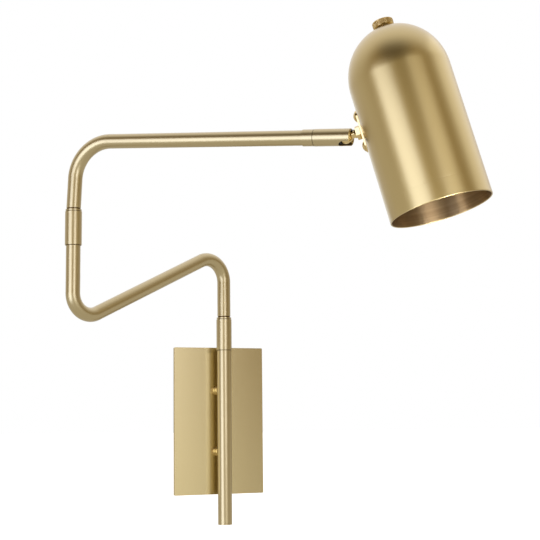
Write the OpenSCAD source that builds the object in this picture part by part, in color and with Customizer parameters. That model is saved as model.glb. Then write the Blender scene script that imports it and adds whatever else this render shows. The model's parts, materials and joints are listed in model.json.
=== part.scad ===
// Swing arm wall lamp: wall plate, stem, two bent swinging arms, slotted ball knuckle
// and a spun dome shade with a turn-knob switch. Millimetres, +Z up, the wall is the
// plane y = 0 and the lamp reaches out along -Y.

/* [Pose] */
// Lower arm: turn out from the wall plane, measured on the left side
lower_turn = 22.6; // [2:0.1:88]
// Elbow: turn of the upper arm from straight out past the elbow
elbow_turn = 113.3; // [-150:0.1:150]
// Knuckle: roll of the slot about the arm
knuckle_roll = -15; // [-180:1:180]
// Head: pitch of the swivel stem above the arm's line
head_pitch = 21; // [-90:1:25]
// Head: spin of the shade about the swivel stem
head_spin = 15.6; // [-180:0.1:180]

/* [Wall plate] */
// Width of the wall plate
plate_w = 108; // [90:1:140]
// Height of the wall plate
plate_h = 168; // [150:1:220]
// Depth of the wall plate from the wall to its face
plate_depth = 4; // [3.6:0.1:8]
// Thickness of the plate's face and rim
plate_wall = 1.4; // [1:0.1:1.6]
// Radius of the plate's corners
plate_corner = 1.2; // [0.5:0.1:6]
// Gap between the bracket and the inside of the plate's rim
bracket_gap = 1.5; // [0.5:0.1:4]
// Thickness of the bracket's steel
bracket_t = 1.5; // [1:0.1:1.6]
// Distance between the middles of the box-screw slots
box_slot_spacing = 79.4; // [76:0.1:82]
// Length of each box-screw slot from end to end
box_slot_l = 14; // [8:0.5:16]
// Width of each box-screw slot
box_slot_w = 4.6; // [4:0.1:5.5]
// Diameter of the two wire holes in the bracket
wire_hole_d = 12; // [8:0.5:12]
// Height of the wire holes above and below the bracket's middle
wire_hole_z = 17; // [16:0.5:18]
// Width of the bracket's upright bar
upright_w = 42; // [34:1:60]
// Height of the bracket's crossbar
crossbar_h = 20; // [16:0.5:30]
// Diameter of the bracket's windows for the stem's nut and bolt head
window_d = 20; // [17:0.5:20]
// Diameter of the bracket's two holes for wall screws
wall_screw_d = 5; // [4:0.1:6]
// Height of those holes above and below the bracket's middle
wall_screw_z = 62; // [56:1:68]
// Diameter of the small set screws in the plate's rim
rim_screw_d = 2.4; // [2:0.1:2.6]
// Width of the rim boss around each set screw
rim_boss_w = 9; // [6:0.5:14]
// Diameter of the ground screw's head
ground_head_d = 6.5; // [5:0.1:8]

/* [Stem] */
// Distance from the wall plate's face to the stem's axis
stem_out = 18; // [15:0.5:40]
// Outer diameter of the stem tube
stem_d = 16; // [15.6:0.1:16.4]
// Wall of the stem tube
stem_wall = 1.3; // [1:0.1:1.6]
// Length of the stem below the plate's middle
stem_drop = 116.7; // [100:0.1:160]
// Height of the lower collar's top above the plate's middle
lower_collar_z = 115.4; // [112:0.1:150]
// Distance between the two standoffs
standoff_spacing = 70; // [60:1:90]
// Largest diameter of a standoff
standoff_d = 13; // [11.5:0.1:15]
// Radius of the round of a standoff's ball
standoff_arc = 7; // [6.6:0.1:12]
// Height of the standoff's saddle at the stem
saddle_h = 2.4; // [1:0.1:4]
// Step in from the ball to the saddle
saddle_step = 0.5; // [0:0.1:1]
// Thickness of the stem's end cap
end_cap_t = 1.2; // [0.6:0.1:3]
// Diameter of the hollow nipple through the upper standoff
nipple_d = 8; // [7:0.1:8.4]
// Bore of the hollow nipple
nipple_bore = 5; // [3:0.1:6]
// Thickness of the nipple's thin nut
nipple_nut_t = 2.1; // [1.5:0.1:2.3]
// Size across the nipple nut's flats
nipple_nut_w = 12; // [11:0.5:14]
// Diameter of the bolt through the lower standoff
stem_bolt_d = 5; // [4:0.1:6]
// Length of each tapped insert inside the stem
insert_l = 18; // [14:1:30]

/* [Arms] */
// Outer diameter of both arm tubes
arm_d = 15; // [14.4:0.1:15.4]
// Wall of the arm tubes
arm_wall = 1.2; // [1:0.05:1.3]
// Distance between the stem's axis and the elbow's axis
lower_reach = 211.4; // [180:0.2:260]
// Height where the lower arm's slope meets the stem's axis
slope_top_z = 197; // [185:0.5:240]
// Height where the lower arm's slope meets the elbow's axis
slope_foot_z = 98.7; // [80:0.1:120]
// Radius of the lower arm's bend near the stem, along the tube's middle
lower_bend_r = 24.5; // [20:0.5:30]
// Radius of the lower arm's bend under the elbow, along the tube's middle
foot_bend_r = 21.5; // [18:0.5:30]
// Height of the elbow collar's top above the plate's middle
elbow_collar_z = 217.2; // [205:0.1:260]
// Height of the upper arm's line at the elbow's axis
arm_z = 291.5; // [280:0.5:340]
// Radius of the upper arm's bend along the tube's middle
upper_bend_r = 38; // [24:0.5:44]
// Lean of the upper arm's riser out of plumb
riser_lean = 3; // [0:0.1:4]
// Fall of the upper arm below level
arm_fall = 4.7; // [0:0.1:8]
// Length of the upper arm's line from the elbow's axis to the knuckle's seam
arm_reach = 268.5; // [200:0.5:320]

/* [Swivels] */
// Outer diameter of the two collars
collar_d = 17.5; // [17.3:0.1:18.5]
// Height of a collar
collar_h = 35; // [30:0.5:50]
// Depth that a tube's end goes into a collar
socket_depth = 18; // [12:0.5:22]
// Outer diameter of the swivel bushes
bush_d = 12; // [11.4:0.1:12.2]
// Thickness of the bush's flange, seen as a dark groove under the neck ring
groove_h = 0.7; // [0.3:0.1:1]
// Depth of that groove in from the neck ring's edge
groove_depth = 1.7; // [1:0.1:2]
// Outer diameter of the neck ring
ring_d = 16.7; // [16:0.1:17.2]
// Height of the neck ring
ring_h = 1.6; // [1:0.1:4]
// Thickness of the plug's flange, seen as a dark groove over the neck ring
neck_groove_h = 1.5; // [0.6:0.1:2]
// Depth of that groove in from the arm tube's outside
neck_groove_depth = 0.6; // [0.3:0.1:0.9]
// Diameter of the hollow swivel studs
stud_d = 10; // [9:0.1:10.2]
// Bore of the hollow swivel studs
stud_bore = 6.5; // [4:0.1:7]
// Height that a stud stands up into the plug
plug_h = 14; // [8:0.5:20]
// Thickness of the spring washer under a bush
washer_t = 0.8; // [0.5:0.1:1.5]
// Height of the round swivel nut
swivel_nut_h = 4; // [3:0.1:5]
// Radial clearance of a turning fit
turn_gap = 0.05; // [0.02:0.01:0.1]
// Radial clearance of a pushed-in or screwed fit
seat_gap = 0.02; // [0.01:0.01:0.05]
// Clearance beside parts that turn freely
free_gap = 0.3; // [0.25:0.05:0.6]

/* [Knuckle] */
// Outer diameter of the ferrule at the arm's end
ferrule_d = 16.4; // [16:0.1:17]
// Length of the ferrule
ferrule_l = 11.6; // [8:0.1:16]
// Depth that the arm tube goes into the ferrule
ferrule_socket = 6.4; // [4:0.1:7.4]
// Width of the seam between ferrule and knuckle
seam_gap = 0.4; // [0.3:0.05:1]
// Diameter of the hollow spigot that the knuckle turns on
spigot_d = 11; // [10:0.1:11.4]
// Length of the knuckle's bearing on the spigot
spigot_bearing = 9; // [6:0.5:12]
// Outer diameter of the knuckle body
knuckle_d = 16.8; // [16.6:0.1:18]
// Length of the knuckle body
knuckle_l = 37.4; // [35:0.1:56]
// Distance from the ball's centre to the knuckle's mouth
mouth_l = 5.5; // [5:0.1:6]
// Diameter of the ball
ball_d = 13.2; // [12.8:0.1:13.2]
// Width of the slot that the stem drops into
slot_w = 10; // [9.8:0.1:11]
// Length of the slot behind the ball's centre
slot_back = 6.5; // [5.6:0.1:8]
// Diameter of the round neck at the ball
neck_d = 7.2; // [6:0.1:7.2]
// Distance from the ball's centre to the start of the stem's flats
flats_start = 8.8; // [8.7:0.1:9.5]
// Size across the stem's flats
flats_w = 8.5; // [7.6:0.1:9]
// Distance from the ball's centre to the lock nut
nut_start = 10.6; // [10.2:0.1:12]
// Size across the lock nut's flats
lock_nut_w = 12; // [11:0.1:13]
// Thickness of the lock nut
lock_nut_t = 4.4; // [3:0.1:6]
// Diameter of the stem's threaded end
stem_thread_d = 8; // [6:0.1:8]
// Free angle of the mouth's cone
mouth_angle = 25; // [22:1:26]

/* [Head] */
// Outer diameter of the shade
shade_d = 98; // [90:1:130]
// Height of the shade from the mouth to the dome's point
shade_h = 185.2; // [170:0.1:260]
// Height of the shade's dome
dome_h = 52.7; // [46:0.1:60]
// Wall of the shade
shade_wall = 1.2; // [0.8:0.1:1.6]
// Height of the swivel stem above the shade's mouth
stem_above_mouth = 96.5; // [70:0.5:110]
// Radius of the flat at the dome's top
dome_flat_r = 9; // [8:0.5:12]
// Length of the strap along the shade
strap_l = 42; // [38:0.5:60]
// Width of the strap
strap_w = 12; // [11:0.5:16]
// Thickness of the strap
strap_t = 1.4; // [1:0.1:3]
// Distance from the swivel stem to each strap screw
strap_screw_z = 15; // [13:0.5:18]
// Diameter of a strap screw's head
screw_head_d = 11; // [9:0.1:12]
// Height of a strap screw's head
screw_head_h = 3; // [2:0.1:3.4]
// Diameter of a strap screw's thread
screw_d = 4.8; // [4:0.1:5]
// Size across the flats of the small nuts inside the shade
screw_nut_w = 8; // [7:0.1:9]
// Thickness of the nuts inside the shade
inner_nut_t = 3.2; // [2:0.1:5]

/* [Lampholder and switch] */
// Outer diameter of the lampholder
holder_d = 38; // [34:0.5:44]
// Height of the lampholder
holder_h = 42; // [38:0.5:60]
// Inner diameter of the screw shell
shell_bore = 26.4; // [26:0.1:26.8]
// Wall of the screw shell
shell_wall = 0.5; // [0.3:0.1:0.8]
// Length of the screw shell
shell_l = 26; // [20:0.5:30]
// Diameter of the switch body
switch_d = 28; // [22:0.5:32]
// Height of the switch body
switch_h = 16; // [12:0.5:24]
// Diameter of the switch's threaded bushing
bushing_d = 10; // [9:0.1:11]
// Diameter of the switch's shaft
shaft_d = 6; // [5:0.1:6.4]
// Diameter of the knob
knob_d = 20.4; // [18:0.1:26]
// Height of the knob
knob_h = 6.6; // [5.6:0.1:14]
// Gap between the dome's nut and the knob
knob_gap = 0.5; // [0.3:0.1:2]
// Number of flutes round the knob
knob_flutes = 40; // [20:1:48]

/* [Hidden] */
$fn = 96;
// How far a cutting shape runs past the faces that it cuts
over = 1;
// Clearance between ends that nearly meet
end_gap = 0.2;
// Overlap of shapes of one piece that are joined end to end
lap = 0.1;
bracket_corner = 3;
boss_t = bracket_gap - free_gap;
bracket_w = plate_w - 2 * (plate_wall + bracket_gap);
bracket_h = plate_h - 2 * (plate_wall + bracket_gap);
rim_screw_y = -rim_screw_d / 2 - 2 * end_gap;
rim_screw_l = plate_wall + bracket_gap - free_gap;
rim_socket_r = 0.7;
rim_socket_depth = 1;
ground_screw_d = 3.5;
ground_head_t = 0.9;
ground_slot_w = 0.8;
ground_slot_depth = 0.5;
bolt_socket_r = 1.8;
bolt_socket_depth = 1.2;
cap_plug_h = 6;
// How far the nipple's end stays short of the stem's axis
nipple_short = 1;
// Swivel nuts and the studs' ends under them
nut_slot_w = 1.6;
nut_slot_depth = 1.2;
nut_side_gap = 0.1;
stud_tail = 1;
stem_y = -(plate_depth + stem_out);
stem_r = stem_d / 2;
stem_bore_r = stem_r - stem_wall;
arm_r = arm_d / 2;
arm_bore_r = arm_r - arm_wall;
collar_r = collar_d / 2;
bush_bore_r = stud_d / 2 + turn_gap;
// Heights above a collar's top: bush flange, ring, plug flange, tube
ring_low = groove_h;
ring_top = ring_low + ring_h;
tube_low = ring_top + neck_groove_h;
web_h = collar_h - socket_depth;
lower_angle = 180 + lower_turn;
// Where a tube's straights meet its bends
bend_lap = 0.6;
bend_swell = 0.04;
// The lower arm's slope and its two equal bends
slope = atan((slope_top_z - slope_foot_z) / lower_reach);
slope_l = norm([lower_reach, slope_top_z - slope_foot_z]);
lower_bend = 90 + slope;
lower_tangent = lower_bend_r * tan(lower_bend / 2);
foot_tangent = foot_bend_r * tan(lower_bend / 2);
// The upper arm's bend: where its leaning riser meets its falling arm
elbow_tube_z = elbow_collar_z + tube_low;
riser_l = (arm_z - elbow_tube_z) / (cos(riser_lean) + sin(riser_lean) * tan(arm_fall));
upper_bend = 90 - riser_lean + arm_fall;
upper_tangent = upper_bend_r * tan(upper_bend / 2);
corner_x = riser_l * sin(riser_lean);
arm_l = arm_reach - corner_x / cos(arm_fall);
// Along the arm, measured from the seam
ball_x = seam_gap / 2 + knuckle_l - mouth_l;
knuckle_r = knuckle_d / 2;
ball_r = ball_d / 2;
seat_r = ball_r + turn_gap;
spigot_nut_t = 2.8;
spigot_end = seam_gap / 2 + spigot_bearing + turn_gap + spigot_nut_t;
spring_x = spigot_end + end_gap;
spring_l = 2.6;
spring_disc = 0.6;
spring_rim = 0.3;
seat_back = neck_d / 2 + 0.6;
slot_end_x = ball_x - slot_back + slot_w / 2;
mouth_chamfer = 0.8;
mouth_spare_angle = 1;
knuckle_edge = 0.2;
// Across the head, measured from the ball's centre
strap_x = nut_start + lock_nut_t;
shade_x = strap_x + strap_t;
shade_r = shade_d / 2;
axis_x = shade_x + shade_r;
mouth_z = -stem_above_mouth;
inner_nut_x = shade_x + shade_wall + 0.6;
strap_nut_x = shade_x + shade_wall + 0.3;
stem_tail = 1.5;
screw_tail = 1;
recess_l = 5.2;
recess_w = 1;
recess_depth = 1.5;
dome_z = mouth_z + shade_h - dome_h;
dome_top = dome_z + dome_h * sqrt(1 - pow(dome_flat_r / shade_r, 2));
inner_r = shade_r - shade_wall;
dome_under = dome_top - shade_wall;
dome_steps = 28;
dome_under_h = (dome_under - dome_z) / sqrt(1 - pow(dome_flat_r / inner_r, 2));
bushing_flange_t = 3;
bushing_flange_w = 2;
switch_top = dome_under - bushing_flange_t;
cap_top = switch_top - switch_h;
cap_t = 4;
holder_top = cap_top - cap_t;
holder_low = holder_top - holder_h;
holder_bore_r = shell_bore / 2 + shell_wall + seat_gap;
shell_set_in = 1.5;
shell_low = holder_low + shell_set_in;
contact_h = 3;
holder_floor = shell_low + shell_l + contact_h + end_gap;
dome_nut_t = 1.4;
dome_nut_margin = 1;
knob_low = dome_top + dome_nut_t + knob_gap;
bushing_in_knob = 2;
bushing_top = knob_low + bushing_in_knob;
knob_roof_t = 1.6;
shaft_top = knob_low + knob_h - knob_roof_t;
shaft_in_switch = 10;
shaft_low = switch_top - shaft_in_switch;
contact_r = 4;
contact_base_h = 1;
knob_edge = 0.7;
flute_r = 0.9;
flute_depth = 0.35;

// Frames

module stem_frame(z = 0) {
    translate([0, stem_y, z]) children();
}

// X runs out along the lower arm
module lower_frame(z = 0) {
    stem_frame(z) rotate([0, 0, lower_angle]) children();
}

// X runs out along the upper arm
module elbow_frame(z = 0) {
    lower_frame(z) translate([lower_reach, 0, 0]) rotate([0, 0, elbow_turn]) children();
}

// X runs along the arm's line, from the seam between ferrule and knuckle
module seam_frame() {
    elbow_frame(arm_z) rotate([0, arm_fall, 0]) translate([arm_reach, 0, 0]) children();
}

module knuckle_frame() {
    seam_frame() rotate([knuckle_roll, 0, 0]) children();
}

// X runs out of the ball along the swivel stem
module ball_frame() {
    knuckle_frame() translate([ball_x, 0, 0]) rotate([0, -head_pitch, 0]) children();
}

// X as the ball's, -Z runs to the shade's mouth
module head_frame() {
    ball_frame() rotate([head_spin, 0, 0]) children();
}

// Z is the shade's own axis
module shade_frame() {
    head_frame() translate([axis_x, 0, 0]) children();
}

// Shapes used more than once

module ring_shape(r, bore) {
    difference() {
        circle(r);
        circle(bore);
    }
}

module ring(r, bore, low, high) {
    translate([0, 0, low]) linear_extrude(high - low) ring_shape(r, bore);
}

// A ring along X
module ring_x(r, bore, low, high) {
    rotate([0, 90, 0]) ring(r, bore, low, high);
}

module rounded_sheet(w, h, r) {
    square([w - 2 * r, h], center = true);
    square([w, h - 2 * r], center = true);
    for (x = [-1, 1], y = [-1, 1]) translate([x * (w / 2 - r), y * (h / 2 - r)]) circle(r);
}

module slot_shape(l, w) {
    square([l - w, w], center = true);
    for (x = [-1, 1]) translate([x * (l - w) / 2, 0]) circle(w / 2);
}

// A sheet standing against the wall, from y = -far to y = -near
module on_wall(near, far) {
    translate([0, -near, 0]) rotate([90, 0, 0]) linear_extrude(far - near) children();
}

module hex_nut(w, bore, low, high) {
    translate([0, 0, low]) difference() {
        cylinder(r = w / 2 / cos(30), h = high - low, $fn = 6);
        translate([0, 0, -over]) cylinder(r = bore, h = high - low + 2 * over);
    }
}

// A bent piece of tube in the XZ plane: starts at the origin going up, turns towards +X
module tube_bend(r, bore, bend_r, turn) {
    translate([bend_r, 0, 0]) rotate([90, 0, 0]) rotate([0, 0, 180 - turn])
        rotate_extrude(angle = turn) translate([bend_r, 0]) ring_shape(r, bore);
}

// An arm's tube that follows steps of [straight length, turn after it, that bend's radius].
// Each straight runs a little way into its bends, whose walls are swollen by a hair round it
module arm_tube(steps, i = 0) {
    straight = steps[i][0];
    turn = steps[i][1];
    bend_r = steps[i][2];
    last = len(steps) - 1;
    ring(arm_r, arm_bore_r, i > 0 ? -bend_lap : 0, i < last ? straight + bend_lap : straight);
    if (i < last) translate([0, 0, straight]) {
        rotate([0, 0, turn < 0 ? 180 : 0])
            tube_bend(arm_r + bend_swell, arm_bore_r - bend_swell, bend_r, abs(turn));
        translate([sign(turn) * bend_r * (1 - cos(turn)), 0, bend_r * sin(abs(turn))])
            rotate([0, turn, 0]) arm_tube(steps, i + 1);
    }
}

// Swivel parts, in a frame whose z = 0 is the collar's top

module collar(tube_d) {
    difference() {
        ring(collar_r, bush_d / 2 + seat_gap, -collar_h, 0);
        translate([0, 0, -collar_h - over]) cylinder(d = tube_d + 2 * seat_gap, h = socket_depth + over);
    }
}

module bush() {
    ring(bush_d / 2, bush_bore_r, -web_h, 0);
    ring(ring_d / 2 - groove_depth, bush_bore_r, 0, groove_h);
}

module neck_ring() {
    ring(ring_d / 2, stud_d / 2 + seat_gap, ring_low, ring_top);
}

module stud() {
    ring(stud_d / 2, stud_bore / 2, -web_h - washer_t - swivel_nut_h - stud_tail, tube_low + plug_h);
}

module spring_washer() {
    ring(bush_d / 2 - nut_side_gap, stud_d / 2 + seat_gap, -web_h - washer_t, -web_h);
}

module swivel_nut() {
    z_top = -web_h - washer_t;
    difference() {
        ring(bush_d / 2 - nut_side_gap, stud_d / 2 + seat_gap, z_top - swivel_nut_h, z_top);
        for (a = [0, 90]) rotate([0, 0, a])
            translate([-bush_d, -nut_slot_w / 2, z_top - swivel_nut_h - over])
                cube([2 * bush_d, nut_slot_w, nut_slot_depth + over]);
    }
}

// The plug that closes a tube's lower end and carries the stud; the tube may lean
module plug(lean) {
    ring(arm_r - neck_groove_depth, stud_d / 2 + seat_gap, ring_top, tube_low);
    difference() {
        translate([0, 0, tube_low]) rotate([0, lean, 0])
            translate([0, 0, -over]) cylinder(r = arm_bore_r - seat_gap, h = plug_h + over);
        translate([-collar_d, -collar_d, tube_low - 4 * over]) cube([2 * collar_d, 2 * collar_d, 4 * over]);
        cylinder(r = stud_d / 2 + seat_gap, h = tube_low + plug_h + 2 * over);
    }
}

// Wall plate and bracket

module back_plate() {
    color("#c9b87f") difference() {
        union() {
            difference() {
                on_wall(0, plate_depth) rounded_sheet(plate_w, plate_h, plate_corner);
                on_wall(-over, plate_depth - plate_wall)
                    square([plate_w - 2 * plate_wall, plate_h - 2 * plate_wall], center = true);
            }
            for (z = [-1, 1]) on_wall(0, plate_depth - plate_wall / 2)
                translate([0, z * (bracket_h / 2 + free_gap + boss_t / 2)])
                    square([rim_boss_w, boss_t], center = true);
        }
        for (z = [-1, 1]) translate([0, rim_screw_y, z * plate_h / 2])
            cylinder(r = rim_screw_d / 2 + seat_gap, h = 4 * bracket_gap, center = true);
        for (s = [[1, nipple_d], [-1, stem_bolt_d]])
            translate([0, -plate_depth - over, s[0] * standoff_spacing / 2]) rotate([-90, 0, 0])
                cylinder(r = s[1] / 2 + seat_gap, h = plate_wall + 2 * over);
    }
}

module mounting_bracket() {
    color("#b9bcc0") on_wall(0, bracket_t) difference() {
        union() {
            rounded_sheet(bracket_w, crossbar_h, bracket_corner);
            rounded_sheet(upright_w, bracket_h, bracket_corner);
        }
        for (s = [-1, 1]) {
            translate([s * box_slot_spacing / 2, 0]) slot_shape(box_slot_l, box_slot_w);
            translate([0, s * wire_hole_z]) circle(wire_hole_d / 2);
            translate([0, s * standoff_spacing / 2]) circle(window_d / 2);
            translate([0, s * wall_screw_z]) circle(wall_screw_d / 2);
        }
        translate([upright_w / 2, 0]) circle(ground_screw_d / 2 + seat_gap);
    }
}

module ground_screw() {
    head_y = bracket_t + ground_head_t;
    color("#4f8a4a") translate([upright_w / 2, 0, 0]) difference() {
        union() {
            on_wall(end_gap, bracket_t) circle(ground_screw_d / 2);
            on_wall(bracket_t, head_y) circle(ground_head_d / 2);
        }
        on_wall(head_y - ground_slot_depth, head_y + over)
            square([ground_head_d + over, ground_slot_w], center = true);
    }
}

module rim_screws() {
    color("#8d8f92") for (z = [-1, 1]) mirror([0, 0, z < 0 ? 1 : 0])
        translate([0, rim_screw_y, bracket_h / 2]) difference() {
            cylinder(d = rim_screw_d, h = rim_screw_l);
            translate([0, 0, rim_screw_l - rim_socket_depth])
                cylinder(r = rim_socket_r, h = rim_socket_depth + over, $fn = 6);
        }
}

// A ball with a saddle that fits the stem
module standoff(bore_d, side) {
    waist_y = plate_depth + stem_out - stem_r - saddle_h;
    ball_h = waist_y - plate_depth;
    color("#d3bd7c") translate([0, 0, side * standoff_spacing / 2]) difference() {
        union() {
            translate([0, -plate_depth - ball_h / 2, 0]) rotate([90, 0, 0]) intersection() {
                rotate_extrude() intersection() {
                    translate([standoff_d / 2 - standoff_arc, 0]) circle(standoff_arc);
                    translate([0, -ball_h]) square([standoff_d, 2 * ball_h]);
                }
                cylinder(d = standoff_d + over, h = ball_h, center = true);
            }
            on_wall(waist_y, waist_y + 2 * saddle_h + stem_r / 2) circle(standoff_d / 2 - saddle_step);
        }
        on_wall(plate_depth - over, plate_depth + stem_out) circle(bore_d / 2 + seat_gap);
        translate([0, stem_y, 0]) cylinder(r = stem_r + seat_gap, h = 2 * standoff_d, center = true);
    }
}

module standoff_upper() {
    standoff(nipple_d, 1);
}

module standoff_lower() {
    standoff(stem_bolt_d, -1);
}

module wire_nipple() {
    color("#b9bcc0") translate([0, 0, standoff_spacing / 2])
        on_wall(free_gap, -stem_y - nipple_short) ring_shape(nipple_d / 2, nipple_bore / 2);
}

module nipple_nut() {
    face_y = plate_depth - plate_wall;
    color("#b9bcc0") translate([0, -face_y, standoff_spacing / 2]) rotate([-90, 0, 0])
        hex_nut(nipple_nut_w, nipple_d / 2 + seat_gap, 0, nipple_nut_t);
}

module stem_bolt() {
    face_y = plate_depth - plate_wall;
    color("#b9bcc0") translate([0, 0, -standoff_spacing / 2]) difference() {
        union() {
            on_wall(face_y - nipple_nut_t, face_y) circle(stem_bolt_d);
            on_wall(face_y, -stem_y + stem_bolt_d / 2) circle(stem_bolt_d / 2);
        }
        translate([0, -face_y + nipple_nut_t - bolt_socket_depth, 0]) rotate([-90, 0, 0])
            cylinder(r = bolt_socket_r, h = bolt_socket_depth + over, $fn = 6);
    }
}

// Tapped inserts pushed into the stem behind its two holes
module stem_inserts() {
    color("#b79b5a") for (s = [[1, nipple_d], [-1, stem_bolt_d]])
        stem_frame(s[0] * standoff_spacing / 2) difference() {
            cylinder(r = stem_bore_r - seat_gap, h = insert_l, center = true);
            rotate([-90, 0, 0]) translate([0, 0, -s[1] / 2 - end_gap])
                cylinder(r = s[1] / 2 + seat_gap, h = stem_d + s[1]);
            if (s[0] > 0) cylinder(d = nipple_bore, h = insert_l);
        }
}

module stem_tube() {
    color("#c4ad74") stem_frame() difference() {
        ring(stem_r, stem_bore_r, -stem_drop + end_cap_t, lower_collar_z - web_h);
        for (s = [[1, nipple_d], [-1, stem_bolt_d]])
            translate([0, 0, s[0] * standoff_spacing / 2]) rotate([-90, 0, 0])
                cylinder(r = s[1] / 2 + seat_gap, h = stem_d);
    }
}

module stem_end_cap() {
    color("#c4ad74") stem_frame(-stem_drop) {
        cylinder(r = stem_r, h = end_cap_t);
        translate([0, 0, end_cap_t]) cylinder(r = stem_bore_r - seat_gap, h = cap_plug_h);
    }
}

// Swivel at the stem's top

module lower_collar() {
    color("#c4ad74") stem_frame(lower_collar_z) collar(stem_d);
}

module lower_bush() {
    color("#8f7a45") stem_frame(lower_collar_z) bush();
}

module lower_neck_ring() {
    color("#cdb67c") lower_frame(lower_collar_z) neck_ring();
}

module lower_stud() {
    color("#b79b5a") lower_frame(lower_collar_z) stud();
}

module lower_plug() {
    color("#8f7a45") lower_frame(lower_collar_z) plug(0);
}

module lower_spring_washer() {
    color("#9a9da1") lower_frame(lower_collar_z) spring_washer();
}

module lower_nut() {
    color("#b79b5a") lower_frame(lower_collar_z) swivel_nut();
}

// Lower arm: up from the stem, down the slope, and up to the elbow
module lower_arm_tube() {
    low_z = lower_collar_z + tube_low;
    first = slope_top_z - lower_tangent - low_z;
    middle = slope_l - lower_tangent - foot_tangent;
    last = elbow_collar_z - web_h - slope_foot_z - foot_tangent;
    color("#c4ad74") lower_frame(low_z) arm_tube([[first, lower_bend, lower_bend_r],
        [middle, -lower_bend, foot_bend_r], [last, 0, 0]]);
}

// Swivel at the elbow

module elbow_collar() {
    color("#c4ad74") elbow_frame(elbow_collar_z) collar(arm_d);
}

module elbow_bush() {
    color("#8f7a45") elbow_frame(elbow_collar_z) bush();
}

module elbow_neck_ring() {
    color("#cdb67c") elbow_frame(elbow_collar_z) neck_ring();
}

module elbow_stud() {
    color("#b79b5a") elbow_frame(elbow_collar_z) stud();
}

module elbow_plug() {
    color("#8f7a45") elbow_frame(elbow_collar_z) plug(riser_lean);
}

module elbow_spring_washer() {
    color("#9a9da1") elbow_frame(elbow_collar_z) spring_washer();
}

module elbow_nut() {
    color("#b79b5a") elbow_frame(elbow_collar_z) swivel_nut();
}

// Upper arm: up from the elbow and out to the ferrule
module upper_arm_tube() {
    first = riser_l - upper_tangent + over;
    last = arm_l - ferrule_l + ferrule_socket - upper_tangent;
    color("#c4ad74") elbow_frame(elbow_tube_z) difference() {
        rotate([0, riser_lean, 0]) translate([0, 0, -over])
            arm_tube([[first, upper_bend, upper_bend_r], [last, 0, 0]]);
        translate([-arm_d, -arm_d, -4 * over]) cube([2 * arm_d, 2 * arm_d, 4 * over]);
    }
}

module arm_ferrule() {
    tube_end = ferrule_socket - ferrule_l;
    color("#cbb57c") seam_frame() {
        ring_x(ferrule_d / 2, arm_r + seat_gap, -ferrule_l, tube_end);
        ring_x(ferrule_d / 2, stud_bore / 2, tube_end, -seam_gap / 2);
        ring_x(spigot_d / 2, stud_bore / 2, -seam_gap / 2, spigot_end);
    }
}

module spigot_nut() {
    color("#b79b5a") seam_frame()
        ring_x(ball_r - free_gap, spigot_d / 2 + seat_gap, spigot_end - spigot_nut_t, spigot_end);
}

// Knuckle: a slotted, chamfered barrel that turns on the ferrule and holds the ball

module knuckle_body() {
    rear_x = seam_gap / 2;
    mouth_x = rear_x + knuckle_l;
    cone_r = (neck_d / 2 + seat_gap) / cos(mouth_angle);
    color("#cbb57c") knuckle_frame() difference() {
        rotate([0, 90, 0]) rotate_extrude() polygon([[0, rear_x], [knuckle_r - knuckle_edge, rear_x],
            [knuckle_r, rear_x + knuckle_edge], [knuckle_r, mouth_x - mouth_chamfer],
            [knuckle_r - mouth_chamfer, mouth_x], [0, mouth_x]]);
        rotate([0, 90, 0]) translate([0, 0, -over])
            cylinder(r = spigot_d / 2 + turn_gap, h = rear_x + spigot_bearing + 2 * over);
        rotate([0, 90, 0]) translate([0, 0, rear_x + spigot_bearing])
            cylinder(r = seat_r, h = ball_x - rear_x - spigot_bearing);
        translate([ball_x, 0, 0]) sphere(seat_r);
        translate([ball_x, 0, 0]) rotate([0, 90, 0]) cylinder(r1 = cone_r,
            r2 = cone_r + (mouth_l + over) * tan(mouth_angle + mouth_spare_angle),
            h = mouth_l + over);
        translate([slot_end_x, -slot_w / 2, -knuckle_d]) cube([knuckle_l, slot_w, knuckle_d]);
        translate([slot_end_x, 0, -knuckle_d]) cylinder(d = slot_w, h = knuckle_d);
    }
}

module ball_seat() {
    color("#2b2a28") knuckle_frame() difference() {
        ring_x(ball_r, stud_bore / 2, spring_x + spring_l, ball_x - seat_back);
        translate([ball_x, 0, 0]) sphere(seat_r);
    }
}

// Two cupped spring washers, face to face
module seat_spring() {
    disc = spring_disc;
    r_in = stud_bore / 2 + free_gap;
    r_out = ball_r - free_gap;
    color("#9a9da1") knuckle_frame() rotate([0, 90, 0]) translate([0, 0, spring_x])
        rotate_extrude() polygon([[r_in, 0], [r_in + disc, 0], [r_out, spring_l / 2 - spring_rim],
            [r_out, spring_l / 2 + spring_rim], [r_in + disc, spring_l], [r_in, spring_l],
            [r_in, spring_l - disc], [r_out - disc, spring_l / 2], [r_in, disc]]);
}

module ball_stem() {
    end_x = inner_nut_x + inner_nut_t + stem_tail;
    color("#e0c27a") ball_frame() rotate([0, 90, 0]) difference() {
        union() {
            sphere(ball_r);
            cylinder(r = neck_d / 2, h = flats_start + lap);
            translate([0, 0, flats_start])
                cylinder(r = flats_w / 2 / cos(30), h = nut_start - flats_start, $fn = 6);
            translate([0, 0, flats_start]) cylinder(r = stem_thread_d / 2, h = end_x - flats_start);
        }
        translate([0, 0, -ball_d]) cylinder(r = stem_thread_d / 4, h = end_x + ball_d + over);
    }
}

// Head

module lock_nut() {
    color("#e0c27a") head_frame() rotate([0, 90, 0])
        hex_nut(lock_nut_w, stem_thread_d / 2 + turn_gap, nut_start, nut_start + lock_nut_t);
}

// A blade along X in the head's frame
module strap_blank(l, w, low, high) {
    translate([low, 0, 0]) rotate([0, 90, 0]) linear_extrude(high - low) slot_shape(l, w);
}

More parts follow.
